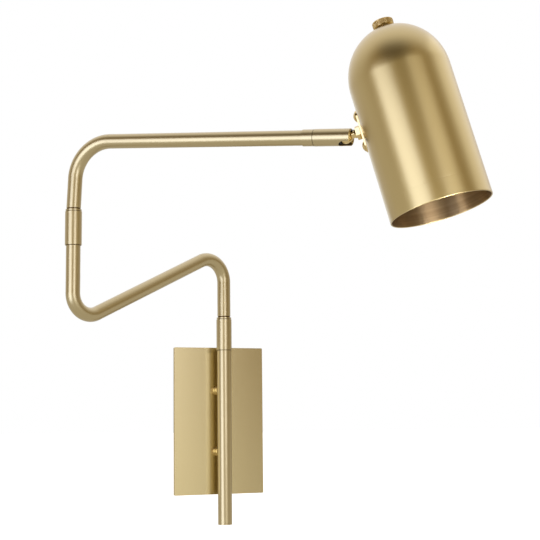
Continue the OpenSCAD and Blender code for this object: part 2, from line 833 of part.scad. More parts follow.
module shade_strap() {
    color("#e0c27a") difference() {
        intersection() {
            head_frame() strap_blank(strap_l, strap_w, strap_x - over, shade_x + strap_w / 2);
            shade_frame() translate([0, 0, -strap_l]) ring(shade_r + strap_t, shade_r, 0, 2 * strap_l);
        }
        head_frame() side_holes(stem_thread_d / 2 + turn_gap, screw_d / 2 + seat_gap);
    }
}

// The swivel stem's hole and the two strap screws' holes
module side_holes(stem_hole_r, screw_hole_r) {
    for (h = [[0, stem_hole_r], [strap_screw_z, screw_hole_r], [-strap_screw_z, screw_hole_r]])
        translate([strap_x - over, 0, h[0]]) rotate([0, 90, 0])
            cylinder(r = h[1], h = strap_t + shade_wall + 4 * over);
}

module strap_screws() {
    cap_r = (pow(screw_head_d / 2, 2) + pow(screw_head_h, 2)) / 2 / screw_head_h;
    tip_x = strap_nut_x + inner_nut_t + screw_tail;
    color("#e0c27a") head_frame() for (z = [-1, 1]) translate([0, 0, z * strap_screw_z]) difference() {
        union() {
            intersection() {
                translate([strap_x - screw_head_h + cap_r, 0, 0]) sphere(cap_r);
                translate([strap_x - screw_head_h - over, -screw_head_d, -screw_head_d])
                    cube([screw_head_h + over, 2 * screw_head_d, 2 * screw_head_d]);
            }
            translate([strap_x - lap, 0, 0]) rotate([0, 90, 0])
                cylinder(r = screw_d / 2, h = tip_x - strap_x + lap);
        }
        for (a = [0, 90]) rotate([a, 0, 0])
            translate([strap_x - screw_head_h - over, -recess_l / 2, -recess_w / 2])
                cube([over + recess_depth, recess_l, recess_w]);
    }
}

module strap_nuts() {
    color("#9a9da1") head_frame() for (z = [-1, 1]) translate([strap_nut_x, 0, z * strap_screw_z])
        rotate([0, 90, 0]) hex_nut(screw_nut_w, screw_d / 2 + seat_gap, 0, inner_nut_t);
}

module inner_nut() {
    color("#9a9da1") head_frame() translate([inner_nut_x, 0, 0]) rotate([0, 90, 0])
        hex_nut(lock_nut_w, stem_thread_d / 2 + turn_gap, 0, inner_nut_t);
}

// Half outline of a dome: points from the wall up to the flat, r mm out and h mm high
function dome_points(r, h, flat_r) = [for (i = [0:dome_steps])
    let (a = acos(flat_r / r) * i / dome_steps) [r * cos(a), dome_z + h * sin(a)]];

function reversed(points) = [for (i = [len(points) - 1:-1:0]) points[i]];

// Spun shade: a straight wall that rises into a long dome with a small flat on top
module shade() {
    outer = dome_points(shade_r, dome_h, dome_flat_r);
    inner = dome_points(inner_r, dome_under_h, dome_flat_r);
    color("#b9995a") difference() {
        shade_frame() difference() {
            rotate_extrude() polygon(concat([[inner_r, mouth_z], [shade_r, mouth_z]], outer,
                [[0, dome_top], [0, dome_under]], reversed(inner)));
            cylinder(r = bushing_d / 2 + seat_gap, h = 2 * shade_h);
        }
        head_frame() side_holes(stem_thread_d / 2 + 2 * turn_gap, screw_d / 2 + turn_gap);
    }
}

module dome_nut() {
    color("#d3bd7c") shade_frame()
        hex_nut(2 * (dome_flat_r - dome_nut_margin) * cos(30), bushing_d / 2 + seat_gap,
            dome_top, dome_top + dome_nut_t);
}

module switch_bushing() {
    bore = shaft_d / 2 + turn_gap;
    color("#b79b5a") shade_frame() {
        ring(bushing_d / 2 + bushing_flange_w, bore, switch_top, dome_under);
        ring(bushing_d / 2, bore, dome_under, bushing_top);
    }
}

module switch_body() {
    color("#26241f") shade_frame() difference() {
        translate([0, 0, cap_top]) cylinder(d = switch_d, h = switch_h);
        translate([0, 0, shaft_low - free_gap]) cylinder(r = shaft_d / 2 + free_gap, h = switch_h);
    }
}

module holder_cap() {
    color("#b79b5a") shade_frame() translate([0, 0, holder_top]) {
        cylinder(r1 = holder_d / 2, r2 = switch_d / 2, h = cap_t);
    }
}

module lampholder() {
    color("#26241f") shade_frame() difference() {
        translate([0, 0, holder_low]) cylinder(d = holder_d, h = holder_h);
        translate([0, 0, holder_low - over])
            cylinder(r = holder_bore_r, h = holder_floor - holder_low + over);
    }
}

module screw_shell() {
    color("#cdb67c") shade_frame()
        ring(shell_bore / 2 + shell_wall, shell_bore / 2, shell_low, shell_low + shell_l);
}

module centre_contact() {
    color("#cdb67c") shade_frame() translate([0, 0, holder_floor - contact_h]) {
        cylinder(r1 = contact_r / 2, r2 = contact_r, h = contact_h - contact_base_h);
        translate([0, 0, contact_h - contact_base_h]) cylinder(r = contact_r, h = contact_base_h);
    }
}

// Switch shaft and knob

module switch_shaft() {
    color("#9a9da1") shade_frame() translate([0, 0, shaft_low])
        cylinder(d = shaft_d, h = shaft_top - shaft_low);
}

module knob() {
    edge = knob_edge;
    color("#d3bd7c") shade_frame() difference() {
        rotate_extrude() polygon([[0, knob_low], [knob_d / 2 - edge, knob_low],
            [knob_d / 2, knob_low + edge], [knob_d / 2, knob_low + knob_h - edge],
            [knob_d / 2 - edge, knob_low + knob_h], [0, knob_low + knob_h]]);
        translate([0, 0, knob_low - over])
            cylinder(r = shaft_d / 2 + seat_gap, h = shaft_top - knob_low + over);
        translate([0, 0, knob_low - over])
            cylinder(r = bushing_d / 2 + free_gap, h = bushing_top - knob_low + over + free_gap);
        for (i = [0:knob_flutes - 1]) rotate([0, 0, i * 360 / knob_flutes])
            translate([knob_d / 2 + flute_r - flute_depth, 0, knob_low + 2 * edge])
                cylinder(r = flute_r, h = knob_h - 4 * edge);
    }
}

back_plate();
mounting_bracket();
ground_screw();
rim_screws();
standoff_upper();
standoff_lower();
wire_nipple();
nipple_nut();
stem_bolt();
stem_inserts();
stem_tube();
stem_end_cap();
lower_collar();
lower_bush();
lower_neck_ring();
lower_stud();
lower_plug();
lower_spring_washer();
lower_nut();
lower_arm_tube();
elbow_collar();
elbow_bush();
elbow_neck_ring();
elbow_stud();
elbow_plug();
elbow_spring_washer();
elbow_nut();
upper_arm_tube();
arm_ferrule();
spigot_nut();
knuckle_body();
ball_seat();
seat_spring();
ball_stem();
lock_nut();
shade_strap();
strap_screws();
strap_nuts();
inner_nut();
shade();
dome_nut();
switch_bushing();
switch_body();
holder_cap();
lampholder();
screw_shell();
centre_contact();
switch_shaft();
knob();
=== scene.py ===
"""Looks of a swing arm wall lamp in satin brass: finishes, fine pieces, studio and camera.

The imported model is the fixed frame. Sizes are in metres, +Z is up, the wall is the plane
y = 0 and the lamp reaches out along -Y.
"""

import json
import logging
import math
from dataclasses import dataclass
from enum import Enum
from typing import ClassVar

import bpy
from mathutils import Matrix, Vector


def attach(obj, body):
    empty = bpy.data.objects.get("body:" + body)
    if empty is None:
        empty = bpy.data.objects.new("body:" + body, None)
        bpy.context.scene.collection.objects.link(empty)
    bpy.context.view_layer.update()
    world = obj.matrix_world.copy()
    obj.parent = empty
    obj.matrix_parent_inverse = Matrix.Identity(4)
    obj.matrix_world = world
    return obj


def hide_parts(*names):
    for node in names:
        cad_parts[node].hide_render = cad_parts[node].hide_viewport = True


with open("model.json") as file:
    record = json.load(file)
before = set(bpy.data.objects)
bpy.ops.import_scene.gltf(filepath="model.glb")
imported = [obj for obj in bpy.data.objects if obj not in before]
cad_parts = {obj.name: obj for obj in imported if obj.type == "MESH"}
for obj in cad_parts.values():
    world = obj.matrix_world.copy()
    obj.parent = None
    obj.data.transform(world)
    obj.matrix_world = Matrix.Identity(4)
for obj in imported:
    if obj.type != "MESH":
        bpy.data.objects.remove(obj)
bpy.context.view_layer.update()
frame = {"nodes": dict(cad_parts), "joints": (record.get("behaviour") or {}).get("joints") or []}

log = logging.getLogger("lamp")

Point = tuple[float, float, float]
Profile = list[tuple[float, float]]

NEARLY_ALONG_X = 0.9
WHITE = (1, 1, 1, 1)


class Grain(Enum):
    """How a surface was worked, which sets the direction of its fine marks."""

    SATIN = "blasted or sanded all ways"
    TURNED = "marks run round the piece's own Z axis"
    DRAWN = "marks run along the piece's own Z axis"
    CAST = "moulded, with a soft pebble"


def find_joint(name: str) -> dict:
    """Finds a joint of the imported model.

    Args:
        name: The joint's name in the record.

    Returns:
        The joint's row in the frame.
    """
    return next(j for j in frame["joints"] if j["name"] == name)


def joint_place(name: str, x_axis: Vector | None = None) -> Matrix:
    """Finds the place of a joint as a matrix whose Z is the joint's axis.

    Args:
        name: The joint's name in the record.
        x_axis: A direction that the matrix's X should point in, roughly.

    Returns:
        A matrix that takes the piece's own coordinates to the lamp's.
    """
    joint = find_joint(name)
    return axis_place(Vector(joint["pos_m"]), Vector(joint["axis"]), x_axis)


def axis_place(origin: Vector, z_axis: Vector, x_axis: Vector | None = None) -> Matrix:
    """Builds a matrix from an origin, a Z direction and a rough X direction.

    Args:
        origin: Where the piece's own origin lies.
        z_axis: Direction of the piece's own Z.
        x_axis: Rough direction of its X, or None for any.

    Returns:
        A matrix that takes the piece's own coordinates to the lamp's.
    """
    z = z_axis.normalized()
    if x_axis is None:
        x_axis = Vector((1, 0, 0)) if abs(z.x) < NEARLY_ALONG_X else Vector((0, 1, 0))
    x = (x_axis - z * x_axis.dot(z)).normalized()
    y = z.cross(x)
    turn = Matrix((x, y, z)).transposed().to_4x4()
    return Matrix.Translation(origin) @ turn


def neck_axis() -> Vector:
    """Direction of the swivel stem, out of the ball."""
    return Vector(find_joint("head_spin")["axis"]).normalized()


SHADE_PLACE = joint_place("knob_turn", neck_axis())
NECK_PLACE = joint_place("head_spin")
ARM_PLACE = joint_place("knuckle_roll")
STEM_PLACE = joint_place("lower_arm_swing")
ELBOW_PLACE = joint_place("upper_arm_swing")
WALL_PLACE = Matrix.Identity(4)


class MarkGroups:
    """Shader node groups that several finishes share. Each is built once."""

    MARK_FREQUENCY = 900.0
    FINE_DETAIL = 4.0
    FINE_ROUGHNESS = 0.6
    WIDE_SCALE = 0.22
    WIDE_DETAIL = 3.0
    CLOUD_SCALE = 18.0
    CLOUD_DETAIL = 2.0
    CLOUD_ROUGHNESS = 0.45
    CLOUD_RANGE = (0.3, 0.7)
    SPECK_SCALE = 260.0
    SPECK_RANGE = (0.14, 0.02)

    def __init__(self) -> None:
        self.marks = self._marks()
        self.clouds = self._clouds()
        self.specks = self._specks()

    @staticmethod
    def _sockets(tree: bpy.types.NodeTree, inputs: list[tuple[str, str, float]],
                 outputs: list[tuple[str, str]]) -> tuple[bpy.types.Node, bpy.types.Node]:
        """Adds a group's sockets and its input and output nodes.

        Args:
            tree: The group.
            inputs: Name, socket type and default of each input.
            outputs: Name and socket type of each output.

        Returns:
            The group's input node and output node.
        """
        for name, kind, default in inputs:
            socket = tree.interface.new_socket(name, in_out="INPUT", socket_type=kind)
            if kind == "NodeSocketFloat":
                socket.default_value = default
        for name, kind in outputs:
            tree.interface.new_socket(name, in_out="OUTPUT", socket_type=kind)
        return tree.nodes.new("NodeGroupInput"), tree.nodes.new("NodeGroupOutput")

    def _marks(self) -> bpy.types.NodeTree:
        """Fine worked marks: a height for bumps and a streak value, stretched along Z.

        Returns:
            The node group.
        """
        tree = bpy.data.node_groups.new("worked marks", "ShaderNodeTree")
        given, out = self._sockets(
            tree,
            [("Vector", "NodeSocketVector", 0),
             ("Across", "NodeSocketFloat", self.MARK_FREQUENCY),
             ("Along", "NodeSocketFloat", self.MARK_FREQUENCY)],
            [("Height", "NodeSocketFloat"), ("Streak", "NodeSocketFloat")])
        combine = tree.nodes.new("ShaderNodeCombineXYZ")
        tree.links.new(given.outputs["Across"], combine.inputs["X"])
        tree.links.new(given.outputs["Across"], combine.inputs["Y"])
        tree.links.new(given.outputs["Along"], combine.inputs["Z"])
        stretch = tree.nodes.new("ShaderNodeVectorMath")
        stretch.operation = "MULTIPLY"
        tree.links.new(given.outputs["Vector"], stretch.inputs[0])
        tree.links.new(combine.outputs[0], stretch.inputs[1])
        fine = tree.nodes.new("ShaderNodeTexNoise")
        fine.inputs["Scale"].default_value = 1.0
        fine.inputs["Detail"].default_value = self.FINE_DETAIL
        fine.inputs["Roughness"].default_value = self.FINE_ROUGHNESS
        tree.links.new(stretch.outputs[0], fine.inputs["Vector"])
        wide = tree.nodes.new("ShaderNodeTexNoise")
        wide.inputs["Scale"].default_value = self.WIDE_SCALE
        wide.inputs["Detail"].default_value = self.WIDE_DETAIL
        tree.links.new(stretch.outputs[0], wide.inputs["Vector"])
        tree.links.new(fine.outputs["Fac"], out.inputs["Height"])
        tree.links.new(wide.outputs["Fac"], out.inputs["Streak"])
        return tree

    def _clouds(self) -> bpy.types.NodeTree:
        """Slow, even variation of a finish over a piece, from 0 to 1.

        Returns:
            The node group.
        """
        tree = bpy.data.node_groups.new("slow clouds", "ShaderNodeTree")
        given, out = self._sockets(
            tree,
            [("Vector", "NodeSocketVector", 0), ("Scale", "NodeSocketFloat", self.CLOUD_SCALE)],
            [("Value", "NodeSocketFloat")])
        noise = tree.nodes.new("ShaderNodeTexNoise")
        noise.inputs["Detail"].default_value = self.CLOUD_DETAIL
        noise.inputs["Roughness"].default_value = self.CLOUD_ROUGHNESS
        ramp = tree.nodes.new("ShaderNodeMapRange")
        ramp.inputs["From Min"].default_value = self.CLOUD_RANGE[0]
        ramp.inputs["From Max"].default_value = self.CLOUD_RANGE[1]
        tree.links.new(given.outputs["Vector"], noise.inputs["Vector"])
        tree.links.new(given.outputs["Scale"], noise.inputs["Scale"])
        tree.links.new(noise.outputs["Fac"], ramp.inputs["Value"])
        tree.links.new(ramp.outputs["Result"], out.inputs["Value"])
        return tree

    def _specks(self) -> bpy.types.NodeTree:
        """Small scattered specks of tarnish, mostly 0 and rising to 1 in a few spots.

        Returns:
            The node group.
        """
        tree = bpy.data.node_groups.new("tarnish specks", "ShaderNodeTree")
        given, out = self._sockets(
            tree,
            [("Vector", "NodeSocketVector", 0), ("Scale", "NodeSocketFloat", self.SPECK_SCALE)],
            [("Value", "NodeSocketFloat")])
        cells = tree.nodes.new("ShaderNodeTexVoronoi")
        ramp = tree.nodes.new("ShaderNodeMapRange")
        ramp.inputs["From Min"].default_value = self.SPECK_RANGE[0]
        ramp.inputs["From Max"].default_value = self.SPECK_RANGE[1]
        tree.links.new(given.outputs["Vector"], cells.inputs["Vector"])
        tree.links.new(given.outputs["Scale"], cells.inputs["Scale"])
        tree.links.new(cells.outputs["Distance"], ramp.inputs["Value"])
        tree.links.new(ramp.outputs["Result"], out.inputs["Value"])
        return tree


class ColourMix:
    """A mix node set to colours, with its colour sockets by plain names."""

    def __init__(self, nodes: bpy.types.Nodes) -> None:
        """Adds the node.

        Args:
            nodes: The nodes that it joins.
        """
        node = nodes.new("ShaderNodeMix")
        node.data_type = "RGBA"
        self.share = node.inputs[0]
        self.first = node.inputs[6]
        self.second = node.inputs[7]
        self.result = node.outputs[2]


@dataclass(frozen=True)
class ShadedSlot:
    """A slot across a turned piece, whose walls get painted shade, darker than the piece's
    outside.
    """

    place: Matrix
    width: float
    radius: float
    margin: float = 0.0001
    skin: float = 0.0003
    edge: float = 0.00007
    # Colour of the painted shade on the slot's walls.
    colour: Point = (0.05, 0.028, 0.012)


@dataclass(frozen=True)
class Finish:
    """One finish: its colours, its gloss and the marks of how it was worked."""

    COAT_IOR: ClassVar[float] = 1.7
    STREAK_SHARE: ClassVar[float] = 0.6
    CLOUD_SHARE: ClassVar[float] = 0.4
    BUMP_DISTANCE: ClassVar[float] = 0.0004
    SPECK_SHADE: ClassVar[float] = 0.35
    MARK_LENGTHENED: ClassVar[float] = 0.03
    MARK_NARROWED: ClassVar[float] = 2.5
    PEBBLE: ClassVar[float] = 0.6

    title: str
    light: Point
    dark: Point
    roughness: float
    spread: float = 0.015
    grain: Grain = Grain.SATIN
    mark_height: float = 0.01
    across: float = 2600.0
    along: float = 2600.0
    metallic: float = 1.0
    coat: float = 0.0
    coat_roughness: float = 0.28
    specks: float = 0.0
    cloud_scale: float = 18.0
    brushed: float = 0.0
    slot: ShadedSlot | None = None

    def material(self, groups: MarkGroups, place: Matrix, suffix: str = "") -> bpy.types.Material:
        """Builds the finish as a material.

        Args:
            groups: The shared node groups.
            place: The piece's own place, which turns the marks with the piece.
            suffix: Added to the material's name where a finish is used at several places.

        Returns:
            The material.
        """
        name = self.title + suffix
        known = bpy.data.materials.get(name)
        if known is not None:
            return known
        material = bpy.data.materials.new(name)
        material.use_nodes = True
        nodes, links = material.node_tree.nodes, material.node_tree.links
        shader = nodes["Principled BSDF"]
        shader.inputs["Metallic"].default_value = self.metallic
        shader.inputs["Coat Weight"].default_value = self.coat
        shader.inputs["Coat Roughness"].default_value = self.coat_roughness
        shader.inputs["Coat IOR"].default_value = self.COAT_IOR
        coordinates = nodes.new("ShaderNodeTexCoord")
        own = nodes.new("ShaderNodeMapping")
        back = place.inverted()
        own.inputs["Location"].default_value = back.to_translation()
        own.inputs["Rotation"].default_value = back.to_euler("XYZ")
        links.new(coordinates.outputs["Object"], own.inputs["Vector"])
        marks = nodes.new("ShaderNodeGroup")
        marks.node_tree = groups.marks
        across, along = self._stretch()
        marks.inputs["Across"].default_value = across
        marks.inputs["Along"].default_value = along
        links.new(own.outputs["Vector"], marks.inputs["Vector"])
        tone = self._tone(nodes, links, groups, own, marks)
        colour = ColourMix(nodes)
        colour.first.default_value = (*self.dark, 1)
        colour.second.default_value = (*self.light, 1)
        links.new(tone, colour.share)
        last = colour.result
        if self.specks > 0:
            last = self._speckled(nodes, links, groups, own, last)
        # Painted shade on the walls of the knuckle's slot.
        if self.slot is not None:
            last = self._paint_slot_shade(nodes, links, coordinates, own, last, self.slot)
        links.new(last, shader.inputs["Base Color"])
        gloss = nodes.new("ShaderNodeMapRange")
        gloss.inputs["To Min"].default_value = self.roughness + self.spread
        gloss.inputs["To Max"].default_value = self.roughness - self.spread
        links.new(tone, gloss.inputs["Value"])
        links.new(gloss.outputs["Result"], shader.inputs["Roughness"])
        bump = nodes.new("ShaderNodeBump")
        bump.inputs["Strength"].default_value = self.mark_height
        bump.inputs["Distance"].default_value = self.BUMP_DISTANCE
        links.new(marks.outputs["Height"], bump.inputs["Height"])
        links.new(bump.outputs["Normal"], shader.inputs["Normal"])
        if self.brushed > 0:
            self._brush(nodes, links, shader, place)
        return material

    def _tone(self, nodes: bpy.types.Nodes, links: bpy.types.NodeLinks, groups: MarkGroups,
              own: bpy.types.Node, marks: bpy.types.Node) -> bpy.types.NodeSocket:
        """Adds up streaks and slow clouds to one value between dark and light.

        Args:
            nodes: The material's nodes.
            links: The material's links.
            groups: The shared node groups.
            own: The node that gives the piece's own coordinates.
            marks: The node that gives the worked marks.

        Returns:
            The socket with the value.
        """
        clouds = nodes.new("ShaderNodeGroup")
        clouds.node_tree = groups.clouds
        clouds.inputs["Scale"].default_value = self.cloud_scale
        links.new(own.outputs["Vector"], clouds.inputs["Vector"])
        tone = nodes.new("ShaderNodeMath")
        tone.operation = "MULTIPLY_ADD"
        tone.inputs[1].default_value = self.STREAK_SHARE
        links.new(marks.outputs["Streak"], tone.inputs[0])
        clouded = nodes.new("ShaderNodeMath")
        clouded.operation = "MULTIPLY"
        clouded.inputs[1].default_value = self.CLOUD_SHARE
        links.new(clouds.outputs["Value"], clouded.inputs[0])
        links.new(clouded.outputs[0], tone.inputs[2])
        return tone.outputs[0]

    def _brush(self, nodes: bpy.types.Nodes, links: bpy.types.NodeLinks, shader: bpy.types.Node,
               place: Matrix) -> None:
        """Stretches reflections along the piece's own Z, across the lines that run round it.

        Args:
            nodes: The material's nodes.
            links: The material's links.
            shader: The surface shader.
            place: The piece's own place.
        """
        shader.inputs["Anisotropic"].default_value = self.brushed
        axis = nodes.new("ShaderNodeCombineXYZ")
        for socket, value in zip(axis.inputs, place.to_3x3() @ Vector((0, 0, 1))):
            socket.default_value = value
        turned = nodes.new("ShaderNodeVectorTransform")
        turned.vector_type = "VECTOR"
        turned.convert_from, turned.convert_to = "OBJECT", "WORLD"
        links.new(axis.outputs[0], turned.inputs[0])
        links.new(turned.outputs[0], shader.inputs["Tangent"])

    @staticmethod
    def _paint_slot_shade(nodes: bpy.types.Nodes, links: bpy.types.NodeLinks,
                 coordinates: bpy.types.Node, own: bpy.types.Node, colour: bpy.types.NodeSocket,
                 slot: ShadedSlot) -> bpy.types.NodeSocket:
        """Paints shade on the walls of a slot, inside a turned piece's own outside.

        Args:
            nodes: The material's nodes.
            links: The material's links.
            coordinates: The node that gives the object's coordinates.
            own: The node that gives the piece's own coordinates.
            colour: The colour so far.
            slot: The slot, its place in its middle with Z across it.

        Returns:
            The socket with the colour and the painted shade in the slot.
        """
        from_middle = nodes.new("ShaderNodeVectorMath")
        from_middle.operation = "SUBTRACT"
        from_middle.inputs[1].default_value = slot.place.to_translation()
        links.new(coordinates.outputs["Object"], from_middle.inputs[0])
        across = nodes.new("ShaderNodeVectorMath")
        across.operation = "DOT_PRODUCT"
        across.inputs[1].default_value = slot.place.to_3x3() @ Vector((0, 0, 1))
        links.new(from_middle.outputs[0], across.inputs[0])
        away = nodes.new("ShaderNodeMath")
        away.operation = "ABSOLUTE"
        links.new(across.outputs["Value"], away.inputs[0])
        flat = nodes.new("ShaderNodeVectorMath")
        flat.operation = "MULTIPLY"
        flat.inputs[1].default_value = (1, 1, 0)
        links.new(own.outputs["Vector"], flat.inputs[0])
        out_from_axis = nodes.new("ShaderNodeVectorMath")
        out_from_axis.operation = "LENGTH"
        links.new(flat.outputs[0], out_from_axis.inputs[0])
        shares = []
        for socket, limit in ((away.outputs[0], slot.width / 2 + slot.margin),
                              (out_from_axis.outputs["Value"], slot.radius - slot.skin)):
            inside = nodes.new("ShaderNodeMapRange")
            inside.inputs["From Min"].default_value = limit
            inside.inputs["From Max"].default_value = limit - slot.edge
            links.new(socket, inside.inputs["Value"])
            shares.append(inside.outputs["Result"])
        both = nodes.new("ShaderNodeMath")
        both.operation = "MULTIPLY"
        links.new(shares[0], both.inputs[0])
        links.new(shares[1], both.inputs[1])
        mixed = ColourMix(nodes)
        mixed.second.default_value = (*slot.colour, 1)
        links.new(both.outputs[0], mixed.share)
        links.new(colour, mixed.first)
        return mixed.result

    def _stretch(self) -> tuple[float, float]:
        """Mark frequencies across and along the piece's own Z, in cycles a metre."""
        if self.grain is Grain.TURNED:
            return self.across * self.MARK_LENGTHENED, self.along * self.MARK_NARROWED
        if self.grain is Grain.DRAWN:
            return self.across * self.MARK_NARROWED, self.along * self.MARK_LENGTHENED
        if self.grain is Grain.CAST:
            return self.across * self.PEBBLE, self.along * self.PEBBLE
        return self.across, self.along

    def _speckled(self, nodes: bpy.types.Nodes, links: bpy.types.NodeLinks, groups: MarkGroups,
                  own: bpy.types.Node, colour: bpy.types.NodeSocket) -> bpy.types.NodeSocket:
        """Darkens a colour in a few small specks.

        Args:
            nodes: The material's nodes.
            links: The material's links.
            groups: The shared node groups.
            own: The node that gives the piece's own coordinates.
            colour: The colour so far.

        Returns:
            The socket with the darkened colour.
        """
        specks = nodes.new("ShaderNodeGroup")
        specks.node_tree = groups.specks
        links.new(own.outputs["Vector"], specks.inputs["Vector"])
        amount = nodes.new("ShaderNodeMath")
        amount.operation = "MULTIPLY"
        amount.inputs[1].default_value = self.specks
        links.new(specks.outputs["Value"], amount.inputs[0])
        mixed = ColourMix(nodes)
        mixed.second.default_value = tuple(c * self.SPECK_SHADE for c in self.dark) + (1,)
        links.new(amount.outputs[0], mixed.share)
        links.new(colour, mixed.first)
        return mixed.result


BRASS = (0.59, 0.495, 0.265)
BRASS_DEEP = (0.565, 0.47, 0.245)
KNUCKLE_RADIUS = 0.0084
KNUCKLE_SLOT = 0.010
STEM_RADIUS = 0.008
ARM_RADIUS = 0.0075

SATIN_TUBE = Finish("satin brass tube", BRASS, BRASS_DEEP, 0.33, grain=Grain.DRAWN, coat=1.0)
SATIN_BENT = Finish("satin brass bent tube", BRASS, BRASS_DEEP, 0.33, coat=1.0)
SATIN_PLATE = Finish("satin brass plate", (0.625, 0.53, 0.285), (0.605, 0.51, 0.27), 0.22,
                     grain=Grain.DRAWN, coat=0.5, cloud_scale=9)
SATIN_SHADE = Finish("satin brass shade", (0.61, 0.485, 0.205), (0.59, 0.465, 0.19), 0.33,
                     grain=Grain.TURNED, coat=1.0, cloud_scale=7)
SHADE_INSIDE = Finish("brushed shade inside", (0.60, 0.44, 0.25), (0.20, 0.11, 0.04), 0.42,
                      spread=0.05, grain=Grain.TURNED, mark_height=0.08, across=500, along=600,
                      brushed=0.92)
TURNED_BRASS = Finish("turned satin brass", BRASS, BRASS_DEEP, 0.31, grain=Grain.TURNED, coat=1.0)
# The knuckle's brass, with painted shade on its slot's walls.
KNUCKLE_BRASS = Finish("turned satin brass, painted shade in slot", BRASS, BRASS_DEEP, 0.31,
                       grain=Grain.TURNED, coat=1.0,
                       slot=ShadedSlot(joint_place("head_pitch"), KNUCKLE_SLOT, KNUCKLE_RADIUS))
KNOB_BRASS = Finish("turned brass knob", (0.76, 0.60, 0.30), (0.70, 0.53, 0.25), 0.2,
                    grain=Grain.TURNED)
POLISHED_BRASS = Finish("polished brass", (0.84, 0.69, 0.37), (0.78, 0.61, 0.30), 0.07,
                        spread=0.02, grain=Grain.TURNED)
# Darkened brass of the bushes and plugs, also the painted shade of the thin rings under the
# collars.
DARK_BRASS_AND_SHADE = Finish("darkened brass and painted shade", (0.16, 0.10, 0.045), (0.10, 0.06, 0.025), 0.4,
                    mark_height=0.03)
RAW_BRASS = Finish("machined brass", (0.70, 0.53, 0.26), (0.60, 0.44, 0.2), 0.24,
                   grain=Grain.TURNED, mark_height=0.06, specks=0.3)
ZINC_STEEL = Finish("zinc plated steel", (0.60, 0.61, 0.63), (0.47, 0.48, 0.51), 0.34, spread=0.08,
                    mark_height=0.06, specks=0.25)
BLACK_PHENOLIC = Finish("black phenolic", (0.035, 0.031, 0.028), (0.02, 0.018, 0.016), 0.42,
                        grain=Grain.CAST, mark_height=0.12, metallic=0.0)
GREEN_SCREW = Finish("green dyed screw", (0.09, 0.33, 0.12), (0.05, 0.22, 0.07), 0.35, spread=0.06,
                     metallic=0.6, mark_height=0.05)
SEAT_NYLON = Finish("nylon ball seat", (0.05, 0.046, 0.04), (0.03, 0.027, 0.024), 0.5,
                    grain=Grain.CAST, mark_height=0.1, metallic=0.0)


@dataclass
class Dressing:
    """Gives carried-over nodes of the model their finishes."""

    groups: MarkGroups

    def wear(self, finish: Finish, place: Matrix, suffix: str, *nodes: str) -> None:
        """Puts a finish on nodes of the model.

        Args:
            finish: The finish.
            place: The place that the finish's marks follow.
            suffix: Name of that place.
            *nodes: The nodes.
        """
        material = finish.material(self.groups, place, suffix)
        for name in nodes:
            node = frame["nodes"][name]
            node.data.materials.clear()
            node.data.materials.append(material)
            log.info("%s wears %s", name, material.name)


class Lathe:
    """Turns a half outline round Z into a closed, smooth piece."""

    START_SIZE = 0.001
    OUTLINE_MERGE = 1e-7
    SPIN_MERGE = 1e-6
    SMOOTH_DEGREES = 32

    @classmethod
    def turn(cls, name: str, outline: Profile, steps: int) -> bpy.types.Object:
        """Models a turned piece from its half outline.

        Args:
            name: The piece's name.
            outline: Points (radius, height) in order, in metres. The last joins the first.
            steps: Number of steps round the axis.

        Returns:
            The piece, at the origin in its own coordinates.
        """
        bpy.ops.object.select_all(action="DESELECT")
        bpy.ops.mesh.primitive_plane_add(size=cls.START_SIZE,
                                         location=(outline[0][0], 0, outline[0][1]))
        piece = bpy.context.object
        piece.name = name
        bpy.ops.object.mode_set(mode="EDIT")
        bpy.ops.mesh.merge(type="CENTER")
        for (r0, z0), (r1, z1) in zip(outline, outline[1:] + outline[:1]):
            step = {"value": (r1 - r0, 0, z1 - z0)}
            bpy.ops.mesh.extrude_region_move(TRANSFORM_OT_translate=step)
        bpy.ops.mesh.select_all(action="SELECT")
        bpy.ops.mesh.remove_doubles(threshold=cls.OUTLINE_MERGE)
        bpy.ops.mesh.spin(steps=steps, angle=2 * math.pi, center=(0, 0, 0), axis=(0, 0, 1))
        bpy.ops.mesh.select_all(action="SELECT")
        bpy.ops.mesh.remove_doubles(threshold=cls.SPIN_MERGE)
        bpy.ops.mesh.normals_make_consistent(inside=False)
        bpy.ops.object.mode_set(mode="OBJECT")
        bpy.ops.object.transform_apply(location=True, rotation=True, scale=True)
        bpy.ops.object.shade_smooth_by_angle(angle=math.radians(cls.SMOOTH_DEGREES))
        return piece


def settle(piece: bpy.types.Object, place: Matrix) -> None:
    """Moves a piece to its place and applies the move, so that its object stays at the origin.

    Args:
        piece: The piece, in its own coordinates.
        place: Its place on the lamp.
    """
    bpy.ops.object.select_all(action="DESELECT")
    piece.select_set(True)
    bpy.context.view_layer.objects.active = piece
    piece.matrix_world = place
    bpy.ops.object.transform_apply(location=True, rotation=True, scale=True)


